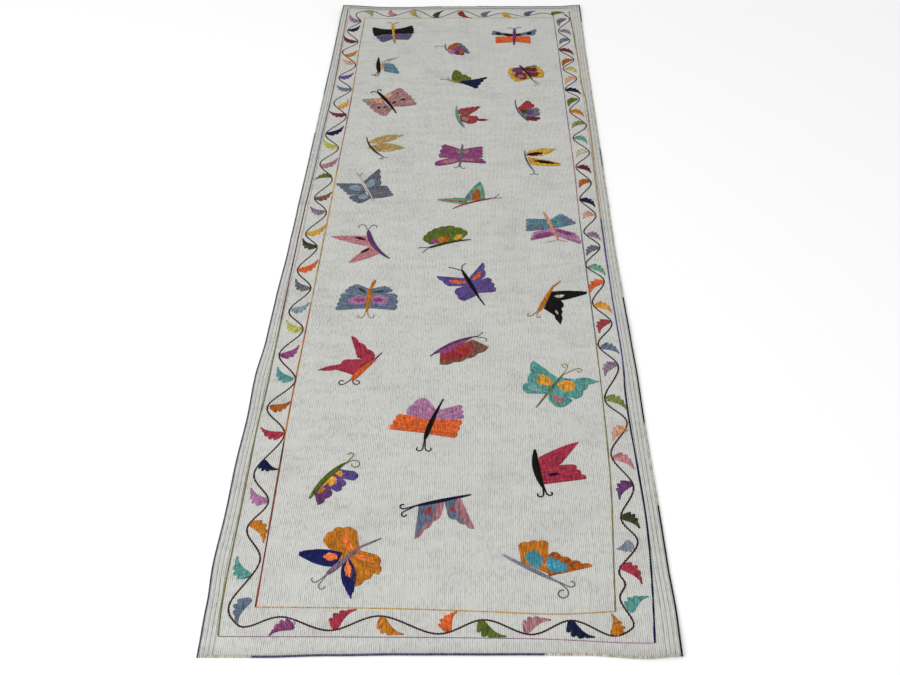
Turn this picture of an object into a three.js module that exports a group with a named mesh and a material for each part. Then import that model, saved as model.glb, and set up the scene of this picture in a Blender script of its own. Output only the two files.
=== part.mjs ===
// An embroidered rug runner lying flat on the floor: one hand-woven cotton cloth with raised cords in
// its two selvedges, and its four raw edges whipped over with yarn.
// Sizes are in millimetres. X runs across the runner, Y along it and Z up. The origin is on the floor
// under the runner's middle.
import * as THREE from "three";

// Driving dimensions
const LENGTH = 2440; // 8 ft
const WIDTH = 824; // at its widest, nominally 2 ft 8 in
const CLOTH_THICKNESS = 3.2;
const EDGING_WIDTH = 3.4; // the whipped yarn, seen from above
const EDGING_HEIGHT = 4.4; // the yarn goes round the cloth's edge, so it stands a little proud
const EDGING_SIDES = 8;
const GAP = 0.3; // between the cloth and its edging

// Selvedge cords: thick warps along both long sides
const CORDS = 3;
const CORD_PITCH = 8;
const CORD_HEIGHT = 0.8;

// The steps of the meshes
const COLUMN_STEP = 66;
const ROW_STEP = 50;

const HALF_LENGTH = LENGTH / 2;
const HALF_WIDTH = WIDTH / 2;

// How far each side edge draws in from the widest line, at places along the runner
const SIDES = [
  { y: -1220, left: 8, right: 2 },
  { y: -1120, left: 5, right: 0 },
  { y: -1030, left: 0, right: 2 },
  { y: -920, left: 2, right: 2 },
  { y: -800, left: 0.5, right: 3 },
  { y: -680, left: 3, right: 3.5 },
  { y: -560, left: 0, right: 3 },
  { y: -440, left: 6, right: 5 },
  { y: -300, left: 7, right: 7 },
  { y: -120, left: 11, right: 9 },
  { y: 80, left: 12, right: 8 },
  { y: 310, left: 13.5, right: 7 },
  { y: 560, left: 14.5, right: 6 },
  { y: 880, left: 16, right: 5 },
  { y: 1080, left: 15.5, right: 2.5 },
  { y: 1220, left: 18, right: 2 },
];

// How far each end draws in from the longest line, at places across the runner
const ENDS = [
  { x: -412, near: 0, far: 0 },
  { x: -300, near: 0.5, far: 1 },
  { x: -180, near: 4.5, far: 3.5 },
  { x: -60, near: 7, far: 0 },
  { x: 60, near: 8, far: 2 },
  { x: 160, near: 9, far: 5 },
  { x: 250, near: 9.5, far: 8 },
  { x: 350, near: 4, far: 9 },
  { x: 412, near: 8, far: 9 },
];

// Places where the cloth stands off the floor: soft ripples, and the two corners that curl up.
// Each is a smooth mound that fades to nothing at its reach.
const LIFTS = [
  { x: -412, y: 1220, reachX: 180, reachY: 190, height: 9 },
  { x: 412, y: 1220, reachX: 80, reachY: 150, height: 4 },
  { x: 412, y: -1220, reachX: 110, reachY: 130, height: 2.5 },
  { x: -412, y: -700, reachX: 120, reachY: 320, height: 1.6 },
  { x: 412, y: -420, reachX: 130, reachY: 260, height: 1.8 },
  { x: -150, y: -650, reachX: 150, reachY: 110, height: 1.6 },
  { x: 190, y: 560, reachX: 170, reachY: 150, height: 1.4 },
];

// The creases left by folding the runner in half and rolling it, as low ridges right across it
const CREASES = [
  { y: 65, reach: 30, height: 1.5 },
  { y: -68, reach: 26, height: 1.1 },
];

/** A table's column at a place, easing from each row to the next. */
function along(table, key, column, place) {
  const next = table.findIndex((row) => row[key] > place);
  if (next === 0) return table[0][column];
  if (next < 0) return table[table.length - 1][column];
  const [a, b] = [table[next - 1], table[next]];
  const share = THREE.MathUtils.smoothstep(place, a[key], b[key]);
  return THREE.MathUtils.lerp(a[column], b[column], share);
}

/** 1 at no distance, easing to 0 at reach. */
const fade = (distance, reach) => 1 - THREE.MathUtils.smoothstep(Math.abs(distance), 0, reach);

/** How far the underside stands off the floor. */
function liftAt(x, y) {
  const mounds = LIFTS.map(
    (m) => m.height * fade(x - m.x, m.reachX) * fade(y - m.y, m.reachY),
  );
  const ridges = CREASES.map((c) => c.height * fade(y - c.y, c.reach));
  return [...mounds, ...ridges].reduce((sum, h) => sum + h, 0);
}

/** The runner's outer edge along Y, at x, on the near (-1) or far (1) end. */
function endAt(end, x) {
  return end * (HALF_LENGTH - along(ENDS, "x", end < 0 ? "near" : "far", x));
}

/** The runner's outer edge along X, at y, on the left (-1) or right (1) side. */
function sideAt(side, y) {
  return side * (HALF_WIDTH - along(SIDES, "y", side < 0 ? "left" : "right", y));
}

/** Even steps from one value to another, both included. */
function steps(from, to, step) {
  const count = Math.round(Math.abs(to - from) / step);
  return Array.from({ length: count + 1 }, (_, i) => from + ((to - from) * i) / count);
}

/** The columns of the cloth's mesh, as shares of its half-width: one on the crest and one in the
 *  valley of each selvedge cord, and even ones between. */
function clothColumns() {
  const band = CORDS * CORD_PITCH;
  const half = HALF_WIDTH - EDGING_WIDTH - GAP;
  const cords = steps(half, half - band, CORD_PITCH / 2);
  const middle = steps(half - band, band - half, COLUMN_STEP).slice(1, -1);
  const right = cords.map((x) => ({ at: x / half, rise: 0 }));
  right.forEach((c, i) => (c.rise = i % 2 ? CORD_HEIGHT : 0));
  const left = right.map((c) => ({ at: -c.at, rise: c.rise })).reverse();
  return [...left, ...middle.map((x) => ({ at: x / half, rise: 0 })).reverse(), ...right];
}

/** The rows of the cloth's mesh, as shares of its half-length: even ones, and three on each crease. */
function clothRows() {
  const creased = CREASES.flatMap((c) => [c.y - c.reach, c.y, c.y + c.reach]);
  const even = steps(-HALF_LENGTH, HALF_LENGTH, ROW_STEP).filter((y) =>
    creased.every((c) => Math.abs(c - y) > ROW_STEP / 3),
  );
  return [...even, ...creased].sort((a, b) => a - b).map((y) => y / HALF_LENGTH);
}

const COLUMNS = clothColumns();
const ROWS = clothRows();

/** Moves each vertex of a geometry to where place(x, y, z) says. */
function shaped(geometry, place) {
  const points = geometry.attributes.position;
  for (let i = 0; i < points.count; i++)
    points.setXYZ(i, ...place(points.getX(i), points.getY(i), points.getZ(i)));
  geometry.computeVertexNormals();
  return geometry;
}

/** The point of a list that a coordinate from -0.5 to 0.5 stands for. */
const pick = (list, coordinate) => list[Math.round((coordinate + 0.5) * (list.length - 1))];

/** The woven cloth: a thin slab on the grid of rows and columns, drawn in to the uneven outline. */
function clothGeometry() {
  const slab = new THREE.BoxGeometry(1, 1, 1, COLUMNS.length - 1, ROWS.length - 1, 1);
  return shaped(slab, (across, length, up) => {
    const column = pick(COLUMNS, across);
    const row = pick(ROWS, length);
    const inset = EDGING_WIDTH + GAP;
    const end = endAt(Math.sign(row) || 1, column.at * HALF_WIDTH);
    const y = Math.abs(row) * (end - Math.sign(end) * inset);
    const side = sideAt(Math.sign(column.at) || 1, y);
    const x = Math.abs(column.at) * (side - Math.sign(side) * inset);
    const top = CLOTH_THICKNESS + column.rise;
    return [x, y, liftAt(x, y) + (up > 0 ? top : 0)];
  });
}

/** A straight bar with flats below and above, 1 by 1 and 1 long, for a strip of edging. */
function edgingBar(segments) {
  const corner = Math.PI / EDGING_SIDES;
  const radius = 0.5 / Math.cos(corner);
  return new THREE.CylinderGeometry(
    radius, radius, 1, EDGING_SIDES, segments, false, corner,
  );
}

/** The edging of the left (-1) or right (1) side, the full length of the runner. */
function sideEdging(side) {
  return shaped(edgingBar(ROWS.length - 1), (across, length, up) => {
    const row = pick(ROWS, length);
    const y = Math.abs(row) * endAt(Math.sign(row) || 1, side * HALF_WIDTH);
    const x = sideAt(side, y) - (side * EDGING_WIDTH) / 2 + across * EDGING_WIDTH;
    return [x, y, liftAt(sideAt(side, y), y) + (up + 0.5) * EDGING_HEIGHT];
  });
}

/** The edging of the near (-1) or far (1) end, between the two side edgings. */
function endEdging(end) {
  const bar = edgingBar(COLUMNS.length - 1).rotateZ(-Math.PI / 2);
  return shaped(bar, (length, across, up) => {
    const column = pick(COLUMNS, length);
    const y = endAt(end, column.at * HALF_WIDTH) - (end * EDGING_WIDTH) / 2;
    const side = sideAt(Math.sign(column.at) || 1, y);
    const x = Math.abs(column.at) * (side - Math.sign(side) * (EDGING_WIDTH + GAP));
    return [x, y + across * EDGING_WIDTH, liftAt(x, endAt(end, x)) + (up + 0.5) * EDGING_HEIGHT];
  });
}

const cotton = new THREE.MeshStandardMaterial({ color: "#d6d4cb", roughness: 0.95, metalness: 0 });
const whipping = new THREE.MeshStandardMaterial({ color: "#3b3654", roughness: 0.9, metalness: 0 });

/** A named mesh of the runner. */
function piece(name, geometry, material) {
  const mesh = new THREE.Mesh(geometry, material);
  mesh.name = name;
  return mesh;
}

const runner = new THREE.Group();
runner.add(
  piece("ground_cloth", clothGeometry(), cotton),
  piece("edging_left", sideEdging(-1), whipping),
  piece("edging_right", sideEdging(1), whipping),
  piece("edging_near", endEdging(-1), whipping),
  piece("edging_far", endEdging(1), whipping),
);

export default runner;
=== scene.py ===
import math

import bpy
import numpy as np
from mathutils import Matrix


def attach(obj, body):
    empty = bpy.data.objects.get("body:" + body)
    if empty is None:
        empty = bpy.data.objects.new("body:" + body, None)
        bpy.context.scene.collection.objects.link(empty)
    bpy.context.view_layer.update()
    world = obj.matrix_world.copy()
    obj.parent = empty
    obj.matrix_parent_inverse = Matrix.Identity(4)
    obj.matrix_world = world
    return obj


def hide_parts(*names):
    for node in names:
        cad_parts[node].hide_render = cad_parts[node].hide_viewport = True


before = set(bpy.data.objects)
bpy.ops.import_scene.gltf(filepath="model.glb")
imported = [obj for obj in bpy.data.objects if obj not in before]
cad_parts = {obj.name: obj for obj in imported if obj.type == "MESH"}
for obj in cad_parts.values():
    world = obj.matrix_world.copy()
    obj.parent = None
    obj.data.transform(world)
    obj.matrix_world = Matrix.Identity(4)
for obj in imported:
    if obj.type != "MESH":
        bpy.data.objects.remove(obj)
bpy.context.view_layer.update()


# The ground cloth is hand-woven off-white cotton with thick ribs along it and three raised cords in
# each selvedge. It came off a roll, so it has two creases across it, soft ripples and three corners
# that curl up, and no edge is quite straight.
MM = 0.001
HALF_WIDTH, HALF_LENGTH = 412.0, 1220.0
CLOTH_THICKNESS = 3.2
CORDS, CORD_PITCH, CORD_HEIGHT = 3, 8.0, 0.8
RIB_PITCH, RIB_HEIGHT = 3.6, 0.22
TICK = 12.0  # the mottling's step along a rib
CHECK_LENGTH = 4.5  # of one check, along a rib
EDGING_WIDTH, EDGING_HEIGHT = 3.4, 4.4
CLOTH_INSET = 2.0  # the cloth's edge, inside its whipping

# How far the side edges draw in from the widest line: y, left, right
SIDES = np.array([
    (-1220, 8, 2), (-1120, 5, 0), (-1030, 0, 2), (-920, 2, 2), (-800, 0.5, 3), (-680, 3, 3.5),
    (-560, 0, 3), (-440, 6, 5), (-300, 7, 7), (-120, 11, 9), (80, 12, 8), (310, 13.5, 7),
    (560, 14.5, 6), (880, 16, 5), (1080, 15.5, 2.5), (1220, 18, 2),
])
# How far the ends draw in from the longest line: x, near, far
ENDS = np.array([
    (-412, 0, 0), (-300, 0.5, 1), (-180, 4.5, 3.5), (-60, 7, 0), (60, 8, 2), (160, 9, 5),
    (250, 9.5, 8), (350, 4, 9), (412, 8, 9),
])
# Mounds where the cloth stands off the floor: x, y, reach across, reach along, height
LIFTS = [
    (-412, 1220, 180, 190, 9), (412, 1220, 80, 150, 4), (412, -1220, 110, 130, 2.5),
    (-412, -700, 120, 320, 1.6), (412, -420, 130, 260, 1.8), (-150, -650, 150, 110, 1.6),
    (190, 560, 170, 150, 1.4),
]
# Creases right across the cloth: y, reach, height
CREASES = [(65, 30, 1.5), (-68, 26, 1.1)]


def ease(share):
    """0 to 1, level at both ends: 3s^2 - 2s^3, with s held between 0 and 1."""
    share = np.clip(share, 0, 1)
    return share * share * (3 - 2 * share)


def eased(place, table, column):
    """A table's column at places: each stretch goes from its first row's value to its second's by ease."""
    stops, values = table[:, 0], table[:, column]
    i = np.clip(np.searchsorted(stops, place, side="right") - 1, 0, len(stops) - 2)
    share = (place - stops[i]) / (stops[i + 1] - stops[i])
    return values[i] + (values[i + 1] - values[i]) * ease(share)


def on_cloth(across, along, inset):
    """The point at shares of the half-width and half-length: y is the share times the end's place at
    that x less the inset, and then x is the share times the side's place at that y less the inset."""
    end = eased(across * HALF_WIDTH, ENDS, 1), eased(across * HALF_WIDTH, ENDS, 2)
    y = along * (HALF_LENGTH - np.where(along < 0, *end) - inset)
    side = eased(y, SIDES, 1), eased(y, SIDES, 2)
    return across * (HALF_WIDTH - np.where(across < 0, *side) - inset), y


def lift(x, y):
    """Height of the underside: every mound's height times ease of both distances, plus the creases."""
    height = sum(h * ease(1 - abs(y - cy) / reach) for cy, reach, h in CREASES)
    for cx, cy, reach_x, reach_y, h in LIFTS:
        height = height + h * ease(1 - abs(x - cx) / reach_x) * ease(1 - abs(y - cy) / reach_y)
    return height


def cord_wave(x, y):
    """1 on the crest of a selvedge cord and 0 between cords, a cosine of the depth in from the edging,
    and -1 away from them."""
    side = np.where(x < 0, eased(y, SIDES, 1), eased(y, SIDES, 2))
    depth = HALF_WIDTH - side - EDGING_WIDTH - abs(x)
    wave = 0.5 - 0.5 * np.cos(2 * np.pi * depth / CORD_PITCH)
    return np.where((depth > -1) & (depth < (CORDS + 0.2) * CORD_PITCH), wave, -1)


def cloth_top(x, y):
    """Height of the cloth's face without its ribs: lift, thickness and cords."""
    return lift(x, y) + CLOTH_THICKNESS + CORD_HEIGHT * np.maximum(cord_wave(x, y), 0)


def piece(name, points, faces, material, **attributes):
    """A smooth mesh piece on the root body, from points in millimetres and arrays of faces, one row of
    corner numbers for each face. Attributes are arrays with three numbers for each point."""
    mesh = bpy.data.meshes.new(name)
    corners = np.concatenate([f.ravel() for f in faces]).astype(np.int32)
    sizes = np.concatenate([np.full(len(f), f.shape[1]) for f in faces])
    mesh.vertices.add(len(points))
    mesh.vertices.foreach_set("co", (points * MM).astype(np.float32).ravel())
    mesh.loops.add(len(corners))
    mesh.loops.foreach_set("vertex_index", corners)
    mesh.polygons.add(len(sizes))
    mesh.polygons.foreach_set("loop_start", (np.cumsum(sizes) - sizes).astype(np.int32))
    mesh.polygons.foreach_set("use_smooth", np.ones(len(sizes), bool))
    for key, values in attributes.items():
        layer = mesh.attributes.new(key, "FLOAT_VECTOR", "POINT")
        layer.data.foreach_set("vector", values.astype(np.float32).ravel())
    mesh.update(calc_edges=True)
    mesh.validate()
    mesh.materials.append(material)
    made = bpy.data.objects.new(name, mesh)
    bpy.context.scene.collection.objects.link(made)
    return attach(made, "root")


def node(tree, kind, inputs=None, **settings):
    """Adds a shader node. An input is given a socket to link or a value to hold."""
    made = tree.nodes.new("ShaderNode" + kind)
    for key, value in settings.items():
        setattr(made, key, value)
    for key, value in (inputs or {}).items():
        if isinstance(value, bpy.types.NodeSocket):
            tree.links.new(value, made.inputs[key])
        else:
            made.inputs[key].default_value = value
    return made


def maths(tree, operation, *values, clamp=False):
    """The result of a math node on values or sockets."""
    inputs = dict(enumerate(values))
    return node(tree, "Math", inputs, operation=operation, use_clamp=clamp).outputs[0]


def from_half(tree, value):
    """How far the fraction of a value is from a half."""
    return maths(tree, "ABSOLUTE", maths(tree, "SUBTRACT", maths(tree, "FRACT", value), 0.5))


def ranged(tree, value, low, high, to_low=0.0, to_high=1.0):
    """A value held between low and high, stretched to go from to_low to to_high."""
    inputs = {"Value": value, "From Min": low, "From Max": high, "To Min": to_low, "To Max": to_high}
    return node(tree, "MapRange", inputs).outputs[0]


def noise(tree, place, scale=1.0, detail=2.0, roughness=0.5, stretch=(1, 1, 1)):
    """Noise about a half at a place, whose coordinates are multiplied by the stretch first."""
    if stretch != (1, 1, 1):
        place = node(tree, "Mapping", {"Vector": place, "Scale": stretch}).outputs[0]
    inputs = {"Vector": place, "Scale": scale, "Detail": detail, "Roughness": roughness}
    return node(tree, "TexNoise", inputs).outputs["Fac"]


def new_material(name, roughness, specular):
    """A matt material, its node tree and its surface shader."""
    material = bpy.data.materials.new(name)
    material.use_nodes = True
    surface = material.node_tree.nodes["Principled BSDF"]
    surface.inputs["Roughness"].default_value = roughness
    surface.inputs["Specular IOR Level"].default_value = specular
    return material, material.node_tree, surface


# The weave: painted shadow between two ribs comes and goes in streaks along it, and here and there it
# breaks up into a fine check instead. Painted shade darkens the grooves between the cords. Hand-spun
# cotton is streaky too, and the cloth has faint darker blotches.
SHADOW_DEPTH, CORD_SHADE_DEPTH, STREAK_DEPTH, BLOTCH_DEPTH = 0.56, 0.42, 0.14, 0.14
cotton, tree, surface = new_material("ribbed_cotton", roughness=0.95, specular=0.1)
weave = node(tree, "Attribute", attribute_name="weave").outputs["Vector"]
where = node(tree, "TexCoord").outputs["Object"]
rib, along, cord_groove_shade = node(tree, "SeparateXYZ", {0: weave}).outputs
# Painted shadow: darker down between two ribs, in streaks along them or in a fine check.
groove = ranged(tree, from_half(tree, rib), 0.1, 0.4)
beside = maths(tree, "MULTIPLY", maths(tree, "ROUND", rib), 0.8)
cell = node(tree, "CombineXYZ", {0: beside, 1: along}).outputs[0]
streak = ranged(tree, noise(tree, cell, detail=1.0), 0.36, 0.66, 0.5, 1.0)
streak = maths(tree, "MULTIPLY", groove, streak)
tick = maths(tree, "COSINE", maths(tree, "MULTIPLY", along, 2 * math.pi * TICK / CHECK_LENGTH))
check = maths(tree, "MULTIPLY", maths(tree, "COSINE", maths(tree, "MULTIPLY", rib, math.pi)), tick)
checked = ranged(tree, noise(tree, where, 26.0, 1.0), 0.55, 0.62, to_high=0.8)
shadow = node(tree, "Mix", {0: checked, 2: streak, 3: ranged(tree, check, -0.2, 0.9)}).outputs[0]
patchy = ranged(tree, noise(tree, where, stretch=(10.0, 45.0, 1.0)), 0.36, 0.62, to_low=0.75)
shadow = maths(tree, "MULTIPLY", shadow, patchy)
drawn = noise(tree, where, stretch=(170.0, 5.0, 5.0))
blotch_noise = noise(tree, where, 9.0, 5.0, roughness=0.65)
fluff = noise(tree, where, 700.0)
# Faint darker blotches over the cloth, from broad noise.
blotches = ranged(tree, blotch_noise, 0.5, 0.75, to_high=BLOTCH_DEPTH)
shade = maths(tree, "MULTIPLY_ADD", shadow, SHADOW_DEPTH, blotches)
shade = maths(tree, "MULTIPLY_ADD", cord_groove_shade, CORD_SHADE_DEPTH, shade)
shade = maths(tree, "MULTIPLY_ADD", drawn, STREAK_DEPTH, shade, clamp=True)
colour = node(tree, "MixRGB", {
    "Fac": shade, "Color1": (0.635, 0.635, 0.605, 1), "Color2": (0.16, 0.16, 0.145, 1)})
relief = maths(tree, "SUBTRACT", maths(tree, "MULTIPLY", fluff, 0.5), shadow)
bump = node(tree, "Bump", {"Height": relief, "Strength": 0.8, "Distance": 0.0008})
tree.links.new(colour.outputs[0], surface.inputs["Base Color"])
tree.links.new(bump.outputs[0], surface.inputs["Normal"])

# The face has four columns to a rib and close rows on the creases. The underside is flat between far
# fewer points, one for each block of the face's grid.
BLOCK_COLUMNS, BLOCK_ROWS = 24, 4
CORD_COLUMNS, FIELD_COLUMNS, RIB_COLUMNS = 19, 853, 4
EVEN_ROWS, CREASE_ROWS = 61, 18
THINNEST_RIB, THICKEST_RIB = 0.7, 1.3
half = HALF_WIDTH - CLOTH_INSET
band = CORDS * CORD_PITCH
selvedge = np.linspace(half, half - band, CORD_COLUMNS)
ribbed = np.linspace(band - half, half - band, FIELD_COLUMNS)
x_steps = np.concatenate([-selvedge, ribbed[1:-1], selvedge[::-1]])
y_steps = np.sort(np.concatenate(
    [np.linspace(-HALF_LENGTH, HALF_LENGTH, EVEN_ROWS)]
    + [cy + reach * np.linspace(-1.02, 0.98, CREASE_ROWS) for cy, reach, _ in CREASES]))
across, along_share = np.meshgrid(x_steps / half, y_steps / HALF_LENGTH)
x, y = on_cloth(across, along_share, CLOTH_INSET)
rib_number = np.broadcast_to(x_steps / RIB_PITCH, x.shape)
thick = np.random.default_rng(3).uniform(THINNEST_RIB, THICKEST_RIB, len(x_steps) // RIB_COLUMNS + 1)
thick = thick.repeat(RIB_COLUMNS)[: len(x_steps)]
inside = abs(x_steps) < half - band
ribs = RIB_HEIGHT * thick * inside * np.cos(2 * np.pi * (rib_number - 0.5))
face = np.stack([x, y, cloth_top(x, y) + ribs], -1)
wave = cord_wave(x, y)
# Painted shade in the grooves between the selvedge cords: 1 at a groove's bottom, 0 on the crests and in the
# field.
cord_groove_shades = np.where(wave < 0, 0, (1 - wave) ** 4)
under = face[::BLOCK_ROWS, ::BLOCK_COLUMNS].copy()
under[..., 2] = lift(under[..., 0], under[..., 1])
top = np.arange(x.size).reshape(x.shape)
base = x.size + np.arange(under[..., 0].size).reshape(under.shape[:2])


def grid_faces(grid):
    """Every square of a grid of point numbers, anticlockwise seen from above."""
    corners = [grid[:-1, :-1], grid[:-1, 1:], grid[1:, 1:], grid[1:, :-1]]
    return np.stack(corners, -1).reshape(-1, 4)


def wall_faces(upper, lower, block):
    """One face for each stretch of the underside's edge: the face's points over it, then its own two."""
    spans = [upper[i : len(upper) - block + i : block] for i in range(block)] + [upper[block::block]]
    return np.stack([*spans, lower[1:], lower[:-1]], -1)


ground = piece(
    "woven_ground",
    np.concatenate([face.reshape(-1, 3), under.reshape(-1, 3)]),
    [
        grid_faces(top),
        grid_faces(base)[:, ::-1],
        wall_faces(top[:, 0], base[:, 0], BLOCK_ROWS),
        wall_faces(top[::-1, -1], base[::-1, -1], BLOCK_ROWS),
        wall_faces(top[0, ::-1], base[0, ::-1], BLOCK_COLUMNS),
        wall_faces(top[-1], base[-1], BLOCK_COLUMNS),
    ],
    cotton,
    weave=np.concatenate([
        np.stack([rib_number, y / TICK, cord_groove_shades], -1).reshape(-1, 3),
        np.stack([under[..., 0] / RIB_PITCH, under[..., 1] / TICK, 0 * under[..., 2]], -1).reshape(-1, 3),
    ]),
)
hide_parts("ground_cloth")


# The edging is wool yarn whipped round the raw edges, a little slanted, and its colour changes where
# one length of yarn ended and the next was knotted in. Every edge is one run.
YARNS = {
    "black": (24, 20, 20), "brown_black": (56, 34, 32), "navy": (24, 28, 58), "royal": (26, 32, 80),
    "violet": (84, 68, 122), "plum": (92, 56, 98), "magenta": (124, 64, 104), "lilac": (156, 108, 142),
    "dusty_pink": (148, 112, 110), "pink": (168, 112, 118), "rose": (150, 104, 112),
    "mauve": (126, 106, 124), "crimson": (149, 49, 66), "red": (145, 48, 52), "maroon": (98, 42, 44),
    "coral": (140, 56, 60), "brick": (124, 46, 34), "rust": (152, 82, 34), "orange": (196, 90, 45),
    "tangerine": (216, 112, 58), "amber": (200, 140, 50), "ochre": (172, 106, 34),
    "gold": (186, 144, 56), "straw": (160, 140, 86), "sage": (140, 140, 100),
    "olive": (108, 106, 52), "leaf_green": (84, 98, 38), "dark_olive": (58, 60, 40),
    "lime": (166, 160, 84), "moss": (116, 124, 64), "oat": (172, 164, 142), "turquoise": (64, 132, 150),
    "jade": (94, 138, 116), "teal": (82, 138, 132), "teal_blue": (84, 118, 130),
    "slate": (92, 104, 122), "dark_slate": (88, 94, 104), "grey": (100, 98, 104),
    "sky_grey": (118, 126, 140), "mist": (124, 138, 146), "peach": (190, 140, 110),
    "tan": (160, 134, 88), "cream": (190, 184, 170), "clay": (112, 76, 64), "dusk": (84, 78, 104),
}
EXPOSURE = 1.12  # light on the runner, so that a yarn's colour comes out as the table has it


def dyed(names, spread=0.05, seed=0):
    """Linear colours of yarns, each a little lighter or darker: ((c + 0.055) / 1.055)^2.4 over the light."""
    srgb = np.array([YARNS[n] for n in names]) / 255
    linear = ((srgb + 0.055) / 1.055) ** 2.4 / EXPOSURE
    return linear * (1 + spread * np.random.default_rng(seed).standard_normal((len(linear), 1)))


# Two plies twisted together show as a slanted ridge on every stitch, with painted shade in the grooves
# between the plies, and its dye is uneven. Painted shade darkens it down between two stitches: the third
# number of "ply" is 1 there and 0 on a stitch's top. The wool also sinks between the ribs of the cloth,
# which shows as painted shadow in dark streaks along them.
PLY_TURN = 1.9  # along a stitch
wool, tree, surface = new_material("wool_yarn", roughness=0.9, specular=0.05)
yarn_colour = node(tree, "Attribute", attribute_name="yarn").outputs["Vector"]
ply = node(tree, "Attribute", attribute_name="ply").outputs["Vector"]
along, about, depth = node(tree, "SeparateXYZ", {0: ply}).outputs
turns = maths(tree, "ADD", maths(tree, "DIVIDE", along, PLY_TURN), about)
ridge = from_half(tree, turns)
where = node(tree, "TexCoord").outputs["Object"]
# Painted shadow in streaks along the cloth's ribs.
rib_streak_shade = ranged(tree, noise(tree, where, detail=1.0, stretch=(430, 45, 1)), 0.44, 0.6, to_high=0.55)
# Painted shade down between two stitches.
stitch_gap_shade = ranged(tree, depth, 0.05, 0.5, to_high=0.5)
light = maths(tree, "MULTIPLY_ADD", noise(tree, where, 90.0), 0.6, 1.13)
# Painted shade in the grooves between the two plies.
light = maths(tree, "MULTIPLY_ADD", ridge, -0.3, light)
light = maths(tree, "SUBTRACT", maths(tree, "SUBTRACT", light, stitch_gap_shade), rib_streak_shade)
toned = node(tree, "VectorMath", {0: yarn_colour, "Scale": light}, operation="SCALE")
height = maths(tree, "SUBTRACT", noise(tree, where, 1600.0), ridge)
bump = node(tree, "Bump", {"Height": height, "Strength": 0.6, "Distance": 0.0004})
tree.links.new(toned.outputs[0], surface.inputs["Base Color"])
tree.links.new(bump.outputs[0], surface.inputs["Normal"])

WRAP = 2.6  # one turn of the whipping
WRAP_SWELL, WRAP_SWELL_UP = 0.28, 0.6  # of the width, and of that the share in height
WRAP_SLANT, UPRIGHT = 0.8, 60  # the slant fades by share^60 to nothing at both ends
WRAP_SIDES = 8
END_INSET = 6.0  # an end's whipping is this much shorter than the half-width, at each side
# Yarn colours along each edge, and where each starts: at y on a side, at x on an end
EDGINGS = {
    "edging_left": [(-1220, "dusk"), (-100, "grey"), (420, "cream"), (640, "grey")],
    "edging_right": [
        (-1220, "black"), (-900, "cream"), (-690, "black"), (-300, "cream"), (240, "grey"), (330, "cream"),
        (1090, "navy")],
    "edging_near": [(-412, "cream"), (-312, "dusk"), (180, "cream")],
    "edging_far": [(-412, "dusk"), (-290, "grey"), (-60, "cream"), (60, "mauve"), (250, "dusk")],
}


def picked(colours, places):
    """The yarn at each place, from (where one starts, yarn) in rising order."""
    starts, names = zip(*colours)
    return [names[i] for i in np.clip(np.searchsorted(starts, places, "right") - 1, 0, None)]


def whipping(name, colours):
    """A closed sleeve round one edge: the ring at every half turn is a circle of WRAP_SIDES points,
    stretched to the edging's width and height, grown on every other ring by the swell, and sheared
    along the edge by its height times the slant."""
    on_side = name in ("edging_left", "edging_right")
    sign = 1 if name in ("edging_right", "edging_far") else -1
    reach = HALF_LENGTH if on_side else HALF_WIDTH - END_INSET
    count = 4 * int(reach / WRAP)
    share = np.linspace(-1, 1, count + 1)[:, None]
    angle = 2 * np.pi * (np.arange(WRAP_SIDES) + 0.5) / WRAP_SIDES
    swell = np.where(np.arange(count + 1) % 2, WRAP_SWELL, -WRAP_SWELL)[:, None]
    out = (EDGING_WIDTH / 2 + swell) * np.cos(angle)
    up = (EDGING_HEIGHT / 2 + swell * WRAP_SWELL_UP) * np.sin(angle)
    shear = WRAP_SLANT * np.sin(angle) * (1 - abs(share) ** UPRIGHT)
    if on_side:
        x, y = on_cloth(sign * np.ones_like(share), share, 0)
        px, py = x - sign * (EDGING_WIDTH / 2 - out), y + shear
    else:
        x, y = on_cloth(share * (HALF_WIDTH - EDGING_WIDTH) / HALF_WIDTH, sign * np.ones_like(share), 0)
        px, py = x + shear, y - sign * (EDGING_WIDTH / 2 - out)
    pz = np.maximum(lift(x, y) + EDGING_HEIGHT / 2 + up, 0)
    rings = np.arange(share.size * WRAP_SIDES).reshape(share.size, WRAP_SIDES)
    around = np.concatenate([rings, rings[:, :1]], 1)
    # The rings wind one way on the right and near edges and the other way on the left and far ones
    turned = around[:, ::-1] if name in ("edging_right", "edging_near") else around
    place = (y if on_side else x)[:, 0]
    tones = dyed(picked(colours, place), spread=0.1, seed=len(colours)).repeat(WRAP_SIDES, 0)
    caps = [turned[:1, :-1], turned[-1:, :-1][:, ::-1]]
    # The third number, 0.5 on the narrow rings between two turns, darkens the wool there with painted shade.
    ply = np.broadcast_arrays(place[:, None], angle / (2 * np.pi), 0.5 * (swell < 0), pz)[:3]
    made = piece(
        name.replace("edging", "whipped"),
        np.stack([px, py, pz], -1).reshape(-1, 3),
        [grid_faces(turned)[:, ::-1], *caps],
        wool,
        yarn=tones,
        ply=np.stack(ply, -1).reshape(-1, 3),
    )
    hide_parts(name)
    return made


worked = [whipping(name, colours) for name, colours in EDGINGS.items()]


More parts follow.
